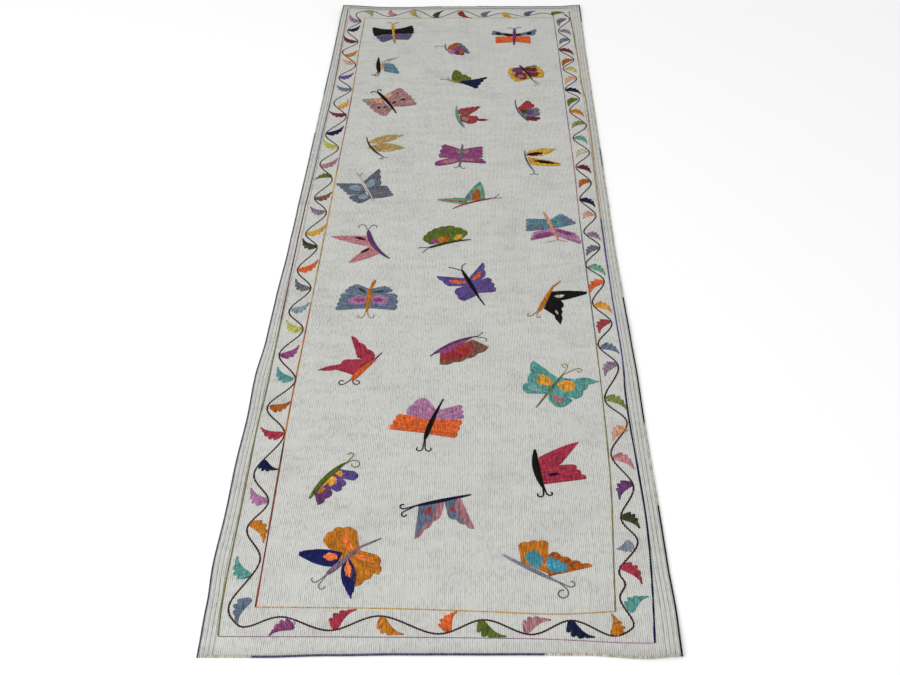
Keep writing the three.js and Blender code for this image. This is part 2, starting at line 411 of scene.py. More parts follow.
# The border is a line of stem stitch inside the edge, another one at the field, and a waving vine
# between them. A line's colour changes where the maker took up the next length of yarn. The whole
# pattern was drawn on the cloth a little to the right of its middle and away from the near end. Its
# places were read off the photo as if it lay on the floor, and it stands FACE above that, so each is
# drawn back towards the eye along its line of sight.
PATTERN = np.array([5.0, 5.0])
EYE, EYE_HEIGHT = np.array([71.2, -2107.7]), 1560.4
FACE = 3.8
THREAD = 2.1  # across one thread of a filled patch
STITCH = 10.0  # length of one in a filled patch
STEM_LAP, STEM_SLANT = 0.18, 0.16  # of a stem stitch's length, and of its width
CROWN = 0.9  # height of a stitch over the cloth
SECTION = np.array([(0.95, -0.35), (0.55, 0.8), (-0.55, 0.8), (-0.95, -0.35)])
RINGS = np.array([(0.07, 0.9, 0.8), (0.5, 1.0, 1.0), (0.93, 0.9, 0.8)])  # share, width, height
SUNK = 0.45  # how far a stitch's ends go into the cloth


def stitches(start, end, width, names, layer=0.0, spread=0.05):
    """Rows of start x, y, end x, y, width, layer, and red, green and blue, one row for each stitch."""
    count = len(start)
    width, layer = np.broadcast_to(width, count), np.broadcast_to(layer, count)
    return np.column_stack([start, end, width, layer, dyed(names, spread, seed=count)])


def leftward(run):
    """Unit steps at right angles to runs, to their left."""
    return np.stack([-run[..., 1], run[..., 0]], -1) / np.linalg.norm(run, axis=-1, keepdims=True)


def yarn_piece(name, *parts):
    """A piece of closed stitches. Each stitch is a grain of rice along its straight line: two ends in
    the cloth and three rings of four points, each ring the section times width and crown there."""
    rows = np.concatenate(parts)
    seen = rows[:, :4].reshape(-1, 2, 2)
    place = seen + PATTERN + (EYE - seen) * FACE / EYE_HEIGHT
    start, end = place[:, :1], place[:, 1:]
    width, layer = rows[:, 4, None, None], rows[:, 5, None]
    run = end - start
    length = np.linalg.norm(run, axis=2, keepdims=True)
    middle = (start + run * RINGS[:, :1])[:, :, None]
    half = (leftward(run) * width / 2)[:, :, None]
    ring = middle + half * (RINGS[:, 1, None] * SECTION[:, 0])[..., None]
    rise = CROWN * RINGS[:, 2, None] * SECTION[:, 1]
    ring_z = cloth_top(ring[..., 0], ring[..., 1]) + rise + layer[..., None]
    tips = np.concatenate([start, end], 1)
    tips_z = cloth_top(tips[..., 0], tips[..., 1]) - SUNK + layer * 0.5
    count = len(rows)
    points = np.concatenate([
        np.concatenate([ring, ring_z[..., None]], -1).reshape(count, -1, 3),
        np.concatenate([tips, tips_z[..., None]], -1),
    ], 1)
    sides = len(SECTION)
    rings = np.arange(len(RINGS) * sides).reshape(len(RINGS), sides)
    around = np.concatenate([rings, rings[:, :1]], 1)
    head, tail = rings.size, rings.size + 1
    quads = grid_faces(around)
    cap = [
        np.stack([around[0, 1:], around[0, :-1], np.full(sides, head)], -1),
        np.stack([around[-1, :-1], around[-1, 1:], np.full(sides, tail)], -1),
    ]
    first = (np.arange(count) * points.shape[1])[:, None, None]
    every = [(f + first).reshape(-1, f.shape[1]) for f in (quads, np.concatenate(cap))]
    along = length * np.concatenate([RINGS[:, 0].repeat(sides), [0, 1]])[None, :, None]
    about = np.concatenate([np.tile(np.arange(sides) / sides, len(RINGS)), [0, 0]])
    # Painted shade: depth is 1 at a stitch's low corners and sunk ends, so the wool darkens between
    # stitches.
    depth = np.concatenate([np.tile(SECTION[:, 1] < 0, len(RINGS)), [1, 1]])
    ply = np.stack(np.broadcast_arrays(along[..., 0], about, depth), -1)
    made = piece(
        name, points.reshape(-1, 3), every, wool,
        yarn=rows[:, 6:].repeat(points.shape[1], 0), ply=ply.reshape(-1, 3),
    )
    worked.append(made)


def smooth(points, closeness=24):
    """A curve through points: between two of them it is the Catmull-Rom cubic of them and their
    neighbours, p1 + t/2 (p2 - p0) + t^2/2 (2p0 - 5p1 + 4p2 - p3) + t^3/2 (3p1 - p0 - 3p2 + p3)."""
    p = np.array(points, float)
    p = np.concatenate([2 * p[:1] - p[1:2], p, 2 * p[-1:] - p[-2:-1]])
    t = np.linspace(0, 1, closeness, endpoint=False)[:, None]
    p0, p1, p2, p3 = (p[i : len(p) - 3 + i, None] for i in range(4))
    curve = (
        p1 + t / 2 * (p2 - p0) + t**2 / 2 * (2 * p0 - 5 * p1 + 4 * p2 - p3)
        + t**3 / 2 * (3 * p1 - p0 - 3 * p2 + p3)
    )
    return np.concatenate([curve.reshape(-1, 2), p[-2:-1]])


def stem(curve, colours, width=2.6, stitch=6.5, axis=1, layer=0.0):
    """Stem stitch along a curve: each stitch starts a little before the last one ends, from one side
    of the line to the other. Colours are (where one starts along the axis, yarn) in rising order."""
    step = np.linalg.norm(np.diff(curve, axis=0), axis=1)
    travel = np.concatenate([[0], np.cumsum(step)])
    count = max(2, int(travel[-1] / stitch))
    begin = np.linspace(0, travel[-1] - travel[-1] / count, count)
    lap = STEM_LAP * stitch
    at = [
        np.column_stack([np.interp(begin + d, travel, curve[:, i]) for i in (0, 1)])
        for d in (-lap, travel[-1] / count + lap)
    ]
    slant = STEM_SLANT * width * leftward(at[1] - at[0])
    return stitches(at[0] - slant, at[1] + slant, width, picked(colours, at[0][:, axis]), layer)


OUTER_LEFT = [
    (-380, -1184), (-386, -1100), (-387, -900), (-389, -700), (-386, -600), (-387, -350), (-387, 0),
    (-383, 200), (-381, 450), (-378, 600), (-377, 700), (-378, 850), (-380, 1000), (-381, 1200),
]
OUTER_RIGHT = [
    (362, -1191), (370, -1100), (376, -1000), (378, -900), (373, -700), (373, -600), (377, -500),
    (374, -300), (374, 0), (376, 200), (380, 500), (379, 600), (374, 700), (376, 800), (373, 900),
    (372, 1000), (367, 1170),
]
yarn_piece(
    "outer_line",
    stem(smooth(OUTER_LEFT), [
        (-1184, "olive"), (-380, "maroon"), (205, "dark_slate"), (620, "clay"), (900, "rust")], width=3.4),
    stem(smooth(OUTER_RIGHT), [
        (-1191, "navy"), (-550, "violet"), (0, "tan"), (500, "straw"), (900, "olive")], width=4.2),
    stem(smooth([(-380, -1184), (-100, -1183), (160, -1184), (300, -1190), (362, -1191)]), [
        (-400, "mauve"), (120, "lilac")], width=1.8, axis=0),
    stem(smooth([(-375, 1205), (-200, 1206), (0, 1203), (200, 1200), (367, 1196)]), [
        (-400, "mauve"), (0, "grey")], width=1.8, axis=0),
)
INNER_LEFT = [
    (-325, -1127), (-326, -1000), (-328, -800), (-329, -650), (-326, -400), (-322, 0), (-320, 300),
    (-318, 450), (-317, 600), (-318, 800), (-320, 900), (-320, 1135),
]
INNER_RIGHT = [
    (302, -1130), (307, -1050), (314, -950), (320, -845), (323, -700), (324, -412), (320, 0),
    (322, 200), (320, 450), (317, 800), (315, 1000), (313, 1130),
]
yarn_piece(
    "inner_line",
    stem(smooth(INNER_LEFT), [
        (-1127, "brick"), (-800, "brown_black"), (-745, "ochre"), (-680, "rust"), (-560, "ochre"),
        (-440, "rust"), (-340, "straw"), (-60, "gold"), (220, "rose"), (620, "tan")], width=3.7),
    stem(smooth(INNER_RIGHT), [
        (-1130, "olive"), (-420, "grey"), (0, "rose"), (430, "mauve")], width=2.9),
    stem(smooth([(-325, -1126), (-100, -1127), (80, -1132), (200, -1136), (302, -1130)]), [
        (-400, "amber"), (-150, "gold")], width=2.6, axis=0),
    stem(smooth([(-320, 1137), (0, 1134), (313, 1130)]), [(-400, "straw")], width=1.7, axis=0),
)
VINE = [
    (-345, 1140), (-331, 1110), (-370, 1050), (-328, 970), (-372, 905), (-322, 815), (-367, 740),
    (-322, 665), (-367, 590), (-322, 505), (-372, 415), (-328, 340), (-371, 265), (-329, 185),
    (-367, 105), (-328, 35), (-371, -50), (-335, -110), (-373, -195), (-332, -265), (-373, -345),
    (-332, -410), (-375, -490), (-328, -570), (-377, -650), (-330, -725), (-376, -825), (-337, -895),
    (-368, -960), (-332, -1030), (-372, -1120), (-352, -1160), (-330, -1164), (-275, -1145),
    (-190, -1171), (-105, -1142), (-5, -1176), (75, -1148), (155, -1176), (225, -1148), (290, -1177),
    (325, -1165), (330, -1148), (312, -1105), (325, -1075), (317, -1045), (357, -985), (331, -930),
    (363, -855), (327, -775), (368, -690), (328, -625), (366, -530), (328, -460), (365, -390),
    (327, -320), (361, -240), (322, -180), (362, -110), (327, -50), (363, 20), (327, 90), (362, 165),
    (327, 240), (369, 310), (329, 385), (371, 450), (329, 530), (362, 600), (323, 655), (362, 720),
    (324, 780), (361, 840), (320, 905), (357, 965), (324, 1035), (365, 1110), (350, 1150),
]
VINE_FAR = [
    (-331, 1110), (-350, 1165), (-300, 1190), (-235, 1150), (-150, 1195), (-80, 1138), (5, 1188),
    (75, 1140), (145, 1168), (210, 1142), (275, 1163), (310, 1150), (312, 1135),
]
yarn_piece(
    "vine",
    stem(smooth(VINE), [(-1300, "brown_black")], width=4.2),
    stem(smooth(VINE_FAR), [(-500, "brown_black")], width=3.6, axis=0),
    stem(smooth([(310, 1150), (335, 1158), (355, 1150), (362, 1130)]), [(0, "olive")], axis=0),
    stem(smooth([(-268, -1146), (-258, -1148), (-251, -1156), (-254, -1164)]), [(-400, "mauve")]),
)


# Leaves lie in the vine's bends, each filled with slanted satin stitch in a colour of its own. A leaf
# is broad by the vine and curls to a narrow tip; one edge is plain and the other has round lobes.
LEAF_WIDTH, LEAF_LOBES = 27.5, 4
LEAF_SLANT, LEAF_CURL = 0.05, 0.18
LEAF_TIPS = np.array([(0.72, 0.93), (0.84, 1.05)])  # where the two stitches of the tip start and end
LEAF_ROWS = 1.1  # to each thread's width, so that every stitch covers the edge of the one before
LEAF_YARN, TIP_YARN = 1.45 * THREAD, 2.2 * THREAD
SHORTEST_ROW = 1.5  # shorter ones at the base and tip are left out


def leaf(yarn, base, tip, lobed):
    """Stitches across a spine from base to tip, bowed towards the lobed side. Its breadth goes as
    sin(pi t^0.6)^0.65 (1 - 0.4 t), half of it on the plain side, and half times
    0.66 + 0.6 |sin(4 pi t)| on the lobed one. Two stitches along the spine make the tip."""
    base, tip = np.array(base, float), np.array(tip, float)
    run = tip - base
    length = np.linalg.norm(run)
    count = int(LEAF_ROWS * length / THREAD)
    t = (np.arange(count) + 0.5) / count
    off = lobed * leftward(run)

    def edge(t, share):
        spine = base + run * t[:, None] + LEAF_CURL * length * (4 * t * (1 - t))[:, None] * off
        breadth = LEAF_WIDTH * abs(np.sin(np.pi * t**0.6)) ** 0.65 * (1 - 0.4 * t)
        return spine + (share * breadth)[:, None] * off

    lobes = 0.66 + 0.6 * abs(np.sin(LEAF_LOBES * np.pi * t))
    plain = edge(np.clip(t - LEAF_SLANT, 0, 1), -0.5)
    round_side = edge(np.clip(t + LEAF_SLANT, 0, 1), 0.5 * lobes)
    long = np.linalg.norm(round_side - plain, axis=1) > SHORTEST_ROW
    across = stitches(plain[long], round_side[long], LEAF_YARN, [yarn] * long.sum(), spread=0.15)
    starts, ends = LEAF_TIPS.T
    tips = stitches(edge(starts, 0.0), edge(ends, 0.0), TIP_YARN, [yarn] * 2, layer=0.1)
    return np.concatenate([across, tips])


# yarn, base x, y, tip x, y, side of the lobes seen from base to tip (1 left, -1 right)
LEAVES = {
    "leaves_left": [
        ("mauve", -335, 1110, -370, 1152, 1), ("navy", -366, 1050, -332, 1082, -1),
        ("maroon", -332, 970, -377, 1010, 1), ("ochre", -362, 878, -326, 912, -1),
        ("peach", -325, 830, -365, 855, 1), ("violet", -365, 738, -325, 765, -1),
        ("slate", -322, 665, -367, 688, 1), ("gold", -355, 558, -326, 604, -1),
        ("maroon", -323, 520, -374, 538, 1), ("navy", -370, 415, -325, 455, -1),
        ("lime", -328, 345, -375, 385, 1), ("rose", -370, 250, -325, 290, -1),
        ("leaf_green", -332, 205, -375, 190, -1), ("clay", -364, 98, -325, 128, -1),
        ("mauve", -333, 38, -372, 60, 1), ("gold", -370, -55, -325, -15, -1),
        ("dark_olive", -337, -108, -375, -75, 1), ("orange", -372, -198, -328, -158, -1),
        ("grey", -335, -268, -372, -232, 1), ("mist", -370, -343, -330, -318, -1),
        ("lime", -335, -410, -373, -380, 1), ("magenta", -372, -495, -335, -462, -1),
        ("teal", -335, -570, -372, -532, 1), ("rust", -372, -650, -330, -632, -1),
        ("crimson", -333, -725, -380, -708, 1), ("navy", -366, -795, -332, -816, -1),
        ("lilac", -340, -897, -375, -865, 1), ("ochre", -364, -943, -332, -988, 1),
        ("teal", -346, -1065, -375, -1023, 1), ("slate", -338, -1108, -352, -1158, -1),
    ],
    "leaves_right": [
        ("teal", 325, -1130, 360, -1100, 1), ("crimson", 320, -1035, 354, -1072, 1),
        ("sky_grey", 345, -985, 318, -1000, 1), ("dark_olive", 333, -925, 363, -952, 1),
        ("plum", 360, -845, 333, -885, -1), ("pink", 330, -780, 368, -810, 1),
        ("peach", 366, -705, 335, -737, -1), ("moss", 330, -620, 370, -652, 1),
        ("mauve", 362, -518, 335, -555, -1), ("slate", 333, -465, 371, -487, 1),
        ("coral", 359, -380, 334, -420, -1), ("amber", 330, -325, 368, -352, 1),
        ("orange", 360, -240, 325, -280, -1), ("jade", 328, -185, 365, -217, 1),
        ("dark_slate", 358, -110, 328, -142, -1), ("mauve", 333, -58, 365, -82, 1),
        ("peach", 357, 28, 330, 8, -1), ("navy", 327, 90, 363, 56, 1), ("rust", 358, 177, 330, 145, -1),
        ("maroon", 332, 243, 365, 213, 1), ("oat", 365, 322, 333, 290, -1),
        ("jade", 334, 389, 366, 360, 1), ("moss", 365, 467, 330, 440, -1),
        ("ochre", 332, 532, 367, 503, 1), ("leaf_green", 355, 602, 328, 558, -1),
        ("navy", 325, 655, 368, 628, 1), ("peach", 358, 727, 327, 690, -1),
        ("lime", 332, 784, 365, 758, 1), ("rust", 355, 842, 325, 800, -1),
        ("maroon", 320, 907, 362, 873, 1), ("slate", 355, 977, 323, 943, -1),
        ("mauve", 330, 1037, 362, 1008, 1), ("grey", 352, 1122, 328, 1070, -1),
    ],
    "leaves_near": [
        ("magenta", -252, -1162, -292, -1180, -1), ("crimson", -185, -1168, -150, -1130, 1),
        ("ochre", -105, -1146, -65, -1177, -1), ("orange", 10, -1172, 26, -1133, 1),
        ("leaf_green", 66, -1150, 110, -1180, -1), ("rose", 143, -1170, 187, -1147, 1),
        ("navy", 220, -1150, 260, -1180, -1), ("ochre", 296, -1178, 296, -1137, -1),
    ],
    "leaves_far": [
        ("sage", -322, 1189, -296, 1150, 1), ("pink", -217, 1158, -236, 1199, 1),
        ("straw", -157, 1203, -131, 1138, -1), ("dark_olive", -79, 1138, -56, 1189, 1),
        ("brick", 2, 1184, 37, 1132, -1), ("grey", 80, 1143, 105, 1182, 1),
        ("gold", 149, 1171, 186, 1129, -1), ("dusk", 223, 1143, 252, 1180, 1),
        ("leaf_green", 307, 1153, 350, 1165, 1),
    ],
}
for name, table in LEAVES.items():
    yarn_piece(name, *[leaf(yarn, (bx, by), (tx, ty), lobed) for yarn, bx, by, tx, ty, lobed in table])


# The butterflies are scattered over the field and no two are alike. Their wings are filled with rows
# of long and short stitches that fan out from the body, in wool of two or three colours; the body is
# a bar of satin stitch over them, and the feelers are fine stem stitch.
CROWDED = 0.72  # of a thread: rows closer than this leave every other one out
LAP = 0.9  # how far a stitch goes past its place at both ends, so that no cloth shows
FULLNESS = 1.55  # a stitch's width over its row's
NARROWEST, WIDEST = 1.8, 2.4 * THREAD
SHORTEST = 1.2  # shorter stitches are left out
SHIFT = 0.35  # how far a cut between two stitches may be from its even place, a share of a stitch
RAGGED = (0.75, 1.2)  # how uneven a patch's edge is, shares of its radius
MARGIN = 0.01  # left unmeasured at a patch's root and edge
OVERLAP = 0.12  # of a wing over the one before
ACROSS, AHEAD = 13, 40  # points that a patch is measured at, from side to side and root to edge


def sideways(offset, ahead):
    """How far offsets reach at right angles to the way ahead: |offset x ahead| / |ahead|."""
    cross = offset[..., 0] * ahead[..., 1] - offset[..., 1] * ahead[..., 0]
    return abs(cross) / np.linalg.norm(ahead, axis=-1)


def fill(place, yarn, patches=()):
    """Rows of stitches over a patch, whose points are place(u, v): u from side to side and v from root
    to edge. Rows stand at even u. Where they crowd, a row that divides by a smaller power of two stops.
    A patch is a centre u and v, two radii and a yarn: a ragged ellipse in u and v that the rows change
    colour in. Each row is cut into stitches of about one length, its cuts shifted at random."""
    steps, sides = np.linspace(MARGIN, 1 - MARGIN, AHEAD), np.linspace(0, 1, ACROSS)
    grid = place(sides.repeat(AHEAD), np.tile(steps, ACROSS)).reshape(ACROSS, AHEAD, 2)
    breadth = sideways(np.diff(grid, axis=0), np.gradient(grid, axis=1)[1:]).sum(0)
    rows = max(3, int(np.ceil(breadth.max() / THREAD)))
    number = np.arange(1, rows + 1)
    power = np.log2(number & -number)
    spacing = breadth / rows
    open_ = spacing * 2 ** power[:, None] > CROWDED * THREAD
    open_[power == power.max()] = True
    reach = open_.any(1)
    u = ((number - 0.5) / rows)[reach]
    v0 = steps[open_.argmax(1)][reach]
    v1 = steps[len(steps) - 1 - open_[:, ::-1].argmax(1)][reach]
    names = np.full(len(u), yarn, object)
    for centre_u, centre_v, radius_u, radius_v, inner in patches:
        half = radius_v * np.sqrt(np.clip(1 - ((u - centre_u) / radius_u) ** 2, 0, 1))
        half = half * np.random.default_rng(len(u)).uniform(*RAGGED, len(u))
        a, b = np.clip(centre_v - half, v0, v1), np.clip(centre_v + half, v0, v1)
        inside = np.full(len(u), inner, object)
        u, v0, v1 = np.tile(u, 3), np.concatenate([v0, a, b]), np.concatenate([a, b, v1])
        names = np.concatenate([names, inside, names])
        some = v1 - v0 > 1e-3
        u, v0, v1, names = u[some], v0[some], v1[some], names[some]
    length = np.linalg.norm(place(u, v1) - place(u, v0), axis=1)
    count = np.maximum(1, np.round(length / STITCH)).astype(int)
    each = np.arange(len(u)).repeat(count)
    nth = np.arange(len(each)) - (np.cumsum(count) - count).repeat(count)
    shift = np.random.default_rng(len(each)).uniform(-SHIFT, SHIFT, len(each))
    begin = (nth + np.where(nth > 0, shift, 0)) / count[each]
    finish = (nth + 1 + np.where(nth < count[each] - 1, np.roll(shift, -1), 0)) / count[each]
    span = (v1 - v0)[each]
    start, end = (place(u[each], v0[each] + span * s) for s in (begin, finish))
    run = end - start
    length = np.linalg.norm(run, axis=1)
    lap = LAP * run / np.maximum(length, 1)[:, None]
    start, end = start - lap, end + lap
    skipped = np.ceil(np.log2(CROWDED * THREAD / np.maximum(spacing, 1e-3)))
    skipped = 2 ** np.clip(skipped, 0, power.max())
    apart = []
    for share in (begin, 0.5 * (begin + finish), finish):
        v = np.clip(v0[each] + span * share, MARGIN, 1 - MARGIN)
        beside = place(u[each] + 0.5 / rows, v) - place(u[each] - 0.5 / rows, v)
        apart.append(sideways(beside, run) * np.interp(v, steps, skipped))
    width = np.clip(np.max(apart, 0) * FULLNESS, NARROWEST, WIDEST)
    long = length > SHORTEST
    return stitches(start[long], end[long], width[long], names[each][long], spread=0.17)


def wing(yarn, root_a, tip_a, tip_b, root_b, lobes=0, depth=5.0, bulge=0.06, bow=0.0, patches=()):
    """A wing between four corners. Its edge goes from tip a to tip b, bulging out by a share of its
    length, with round lobes of a depth between notches: depth (|sin(lobes pi u)| - 1/2). Every row goes
    straight from the root line to the edge, and bow swells both sides, a share of the tips' distance."""
    root_a, tip_a, tip_b, root_b = (np.array(p, float) for p in (root_a, tip_a, tip_b, root_b))
    chord = tip_b - tip_a
    size = np.linalg.norm(chord)
    outward = leftward(chord)
    outward *= np.sign(outward @ (tip_a + tip_b - root_a - root_b))

    def place(u, v):
        u, v = u[:, None], v[:, None]
        scallop = depth * (abs(np.sin(lobes * np.pi * u)) - 0.5) if lobes else 0
        tip = tip_a + u * chord + outward * (bulge * size * 4 * u * (1 - u) + scallop)
        root = root_a + u * (root_b - root_a)
        return root + v * (tip - root) - bow * (1 - 2 * u) * 4 * v * (1 - v) * chord

    return fill(place, yarn, patches)


def petal(yarn, base, tip, width, patches=()):
    """A leaf-shaped wing: every row goes from base to tip, swelling sideways by sin(pi v^0.9)."""
    base, tip = np.array(base, float), np.array(tip, float)
    run = tip - base

    def place(u, v):
        swell = (0.5 - u) * width * np.sin(np.pi * v**0.9)
        return base + v[:, None] * run + swell[:, None] * leftward(run)

    return fill(place, yarn, patches)


BODY_ROWS = 0.85  # from one row to the next, a share of a thread
BODY_SLANT = 1.2  # how far a row's ends are from straight across
BODY_LAYER = 0.55  # over the wings


def body(yarn, head, tail, width, bend=0.0, fattest=0.35):
    """A bar of slanted satin stitch from head to tail, bent sideways by a share of its length. Its
    breadth is 0.2 + 0.8 sin(pi t^k)^0.7 times the width, k set so that it is widest at the fattest share."""
    head, tail = np.array(head, float), np.array(tail, float)
    run = tail - head
    length = np.linalg.norm(run)
    power = math.log(0.5) / math.log(fattest)
    count = int(length / (BODY_ROWS * THREAD))
    t = (np.arange(count) + 0.5) / count

    def edge(t, side):
        t = np.clip(t, 0, 1)
        swell = side * width / 2 * (0.2 + 0.8 * abs(np.sin(np.pi * t**power)) ** 0.7)
        aside = bend * length * 4 * t * (1 - t) + swell
        return head + run * t[:, None] + aside[:, None] * leftward(run)

    slant = BODY_SLANT / length
    return stitches(edge(t - slant, -1), edge(t + slant, 1), THREAD, [yarn] * count, BODY_LAYER, 0.12)


FEELER_POINTS, FEELER_STITCH, FEELER_LAYER = 60, 4.0, 0.2


def feeler(yarn, root, heading, length, turn, width=1.7, hold=0.45):
    """Fine stem stitch along a stem and a hook: it goes straight at the heading for the hold share of
    its length, and then turns by turn times share^1.3. Both angles are in degrees."""
    s = np.linspace(0, 1, FEELER_POINTS)
    angle = np.radians(heading + turn * np.clip((s - hold) / (1 - hold), 0, 1) ** 1.3)
    path = np.cumsum(np.column_stack([np.cos(angle), np.sin(angle)]), 0) * length / len(s)
    return stem(path + np.array(root), [(-HALF_LENGTH, yarn)], width, FEELER_STITCH, layer=FEELER_LAYER)


def feelers(yarn, root, *hooks):
    """Feelers from one root, each given by what feeler takes after its root."""
    return np.concatenate([feeler(yarn, root, *hook) for hook in hooks])


def spot(yarn, x, y, width, length, heading):
    """A dot or a dash of satin stitch over a wing, at an angle in degrees."""
    centre, angle = np.array([x, y]), math.radians(heading)
    reach = length / 2 * np.array([math.cos(angle), math.sin(angle)])
    return body(yarn, centre - reach, centre + reach, width, fattest=0.5)


def butterfly(number, *parts):
    """A piece of wings, body and feelers. The first four are each worked a little over the one before."""
    for i, part in enumerate(parts):
        part[:, 5] += OVERLAP * min(i, 3)
    yarn_piece(f"butterfly_{number:02d}", *parts)


butterfly(
    1,
    wing("black", (-220, 1058), (-287, 1073), (-275, 1008), (-220, 1020), 4, 5, bow=-0.08),
    wing("black", (-214, 1058), (-158, 1083), (-151, 1026), (-214, 1020), 4, 4, bow=-0.06),
    wing("dusk", (-220, 1024), (-272, 1010), (-246, 966), (-216, 988), 2, 4, 0.06),
    wing("dusk", (-214, 1024), (-154, 1024), (-166, 982), (-208, 986), 3, 4, 0.04,
         patches=[(0.4, 0.2, 0.3, 0.15, "magenta")]),
    body("gold", (-223, 1098), (-213, 1000), 10),
    body("tan", (-215, 1010), (-207, 956), 9),
    feeler("mist", (-222, 1094), 130, 26, 110),
    feeler("olive", (-220, 1094), 55, 24, -110),
)
butterfly(
    2,
    wing("slate", (176, 1016), (112, 1040), (106, 1010), (176, 992), 2, 3, bow=-0.1,
         patches=[(0.55, 0.7, 0.4, 0.13, "black"), (0.6, 0.2, 0.5, 0.28, "black")]),
    wing("slate", (178, 1016), (252, 1048), (242, 1002), (178, 992), 2, 3, bow=-0.14,
         patches=[(0.5, 0.68, 0.35, 0.13, "black"), (0.6, 0.16, 0.5, 0.2, "navy")]),
    wing("orange", (176, 998), (119, 996), (119, 952), (176, 959), 3, 3, 0.02),
    wing("orange", (178, 998), (229, 998), (230, 948), (178, 964), 3, 3, 0.02),
    body("plum", (181, 1054), (177, 938), 12, fattest=0.42),
    feeler("mauve", (180, 1048), 140, 30, 130),
    feeler("mauve", (181, 1048), 45, 32, -130),
)
butterfly(
    3,
    wing("rust", (-34, 905), (-36, 925), (0, 960), (-4, 915), 2, 3, 0.14),
    wing("dark_slate", (-4, 925), (0, 958), (34, 884), (10, 894), 4, 4, 0.08),
    wing("magenta", (-28, 908), (-10, 930), (15, 924), (8, 896), 1, 2, 0.05),
    wing("lilac", (-26, 914), (-36, 908), (-20, 880), (-8, 902), 1, 2, 0.1),
    wing("maroon", (-16, 900), (-12, 881), (18, 877), (14, 904), 2, 3, 0.06,
         patches=[(0.75, 0.4, 0.25, 0.35, "rust")]),
    body("dark_slate", (-43, 952), (-33, 902), 5, -0.1, 0.6),
    feeler("mist", (-44, 932), 165, 40, 110),
)
butterfly(
    4,
    petal("mist", (-240, 836), (-188, 868), 13),
    wing("oat", (-246, 838), (-220, 846), (-216, 816), (-244, 792), 1, 3),
    wing("teal_blue", (-234, 826), (-206, 824), (-182, 760), (-230, 776), 3, 3, 0.04,
         patches=[(0.5, 0.1, 0.5, 0.3, "slate")]),
    body("peach", (-239, 834), (-234, 786), 5),
    body("black", (-253, 864), (-244, 766), 15, -0.02, 0.6),
    feeler("black", (-245, 772), 266, 42, -230, 2.6),
    feeler("black", (-249, 772), 250, 34, -150, 2.4),
)
butterfly(
    5,
    wing("leaf_green", (-18, 708), (-8, 784), (14, 750), (10, 702), 1, 2, 0.05, bow=0.2),
    wing("leaf_green", (0, 704), (14, 752), (42, 722), (22, 704), 2, 4, 0.1),
    wing("navy", (14, 713), (91, 734), (57, 663), (4, 699), 4, 5, -0.04, bow=-0.05),
    body("tan", (-26, 716), (8, 697), 8),
    feelers("clay", (-22, 713), (150, 38, 90), (122, 26, -60)),
)
butterfly(
    6,
    wing("gold", (202, 792), (160, 791), (154, 750), (208, 764), 2, 4, 0.04,
         patches=[(0.5, 0.4, 0.5, 0.42, "plum")]),
    wing("gold", (207, 766), (157, 752), (182, 702), (220, 722), 3, 5, 0.10,
         patches=[(0.45, 0.38, 0.5, 0.36, "maroon"), (0.5, 0.45, 0.2, 0.2, "rose")]),
    wing("gold", (200, 790), (236, 806), (262, 768), (212, 762), 3, 4, 0.06,
         patches=[(0.55, 0.38, 0.5, 0.4, "maroon"), (0.1, 0.7, 0.25, 0.35, "olive")]),
    wing("gold", (212, 766), (263, 768), (260, 728), (222, 728), 2, 4, 0.04,
         patches=[(0.4, 0.3, 0.5, 0.4, "maroon"), (0.15, 0.35, 0.15, 0.2, "magenta")]),
    body("brown_black", (190, 804), (228, 711), 9, 0.03),
    feelers("straw", (227, 713), (300, 42, -100), (320, 36, -80)),
)
butterfly(
    7,
    wing("dusty_pink", (-222, 626), (-176, 674), (-147, 628), (-200, 590), 2, 4, 0.06,
         patches=[(0.4, 0.62, 0.1, 0.08, "coral"), (0.2, 0.2, 0.3, 0.2, "peach")]),
    wing("dusty_pink", (-205, 600), (-143, 630), (-119, 575), (-192, 564), 3, 4, 0.0, bow=0.08),
    wing("dusty_pink", (-226, 614), (-285, 605), (-248, 546), (-210, 575), 3, 4, -0.02,
         patches=[(0.3, 0.25, 0.3, 0.25, "peach"), (0.1, 0.7, 0.2, 0.2, "sage")]),
    wing("dusty_pink", (-216, 586), (-248, 549), (-207, 510), (-192, 550), 2, 4, 0.08),
    body("black", (-239, 647), (-177, 526), 11, 0.02, 0.28),
    feeler("black", (-238, 642), 105, 40, -250, 3.4, 0.3),
    feeler("black", (-240, 645), 145, 30, 160, 3.4, 0.3),
    spot("brown_black", -161, 603, 13, 15, 20), spot("brown_black", -187, 586, 10, 16, 65),
    spot("black", -230, 558, 12, 12, 0), spot("black", -211, 559, 8, 12, 35),
)
butterfly(
    8,
    wing("coral", (3, 524), (7, 546), (69, 560), (26, 505), 4, 4, 0.04, bow=0.08,
         patches=[(0.5, 0.25, 0.4, 0.2, "clay")]),
    wing("coral", (8, 514), (60, 505), (38, 463), (14, 478), 2, 4, 0.26,
         patches=[(0.5, 0.3, 0.3, 0.2, "rose")]),
    petal("maroon", (56, 485), (92, 484), 13),
    body("jade", (-1, 564), (23, 444), 11, -0.065, 0.6),
)
butterfly(
    9,
    wing("red", (178, 548), (206, 590), (228, 553), (186, 524), 2, 4, 0.10,
         patches=[(0.6, 0.65, 0.25, 0.2, "coral")]),
    wing("grey", (184, 532), (237, 549), (240, 504), (196, 494), 2, 5, 0.02,
         patches=[(0.45, 0.45, 0.3, 0.25, "violet"), (0.1, 0.1, 0.3, 0.3, "dark_olive")]),
    wing("maroon", (200, 502), (242, 495), (222, 476), (202, 484), 2, 4, 0.16),
    body("dark_slate", (172, 594), (207, 475), 6, -0.09, 0.6),
)
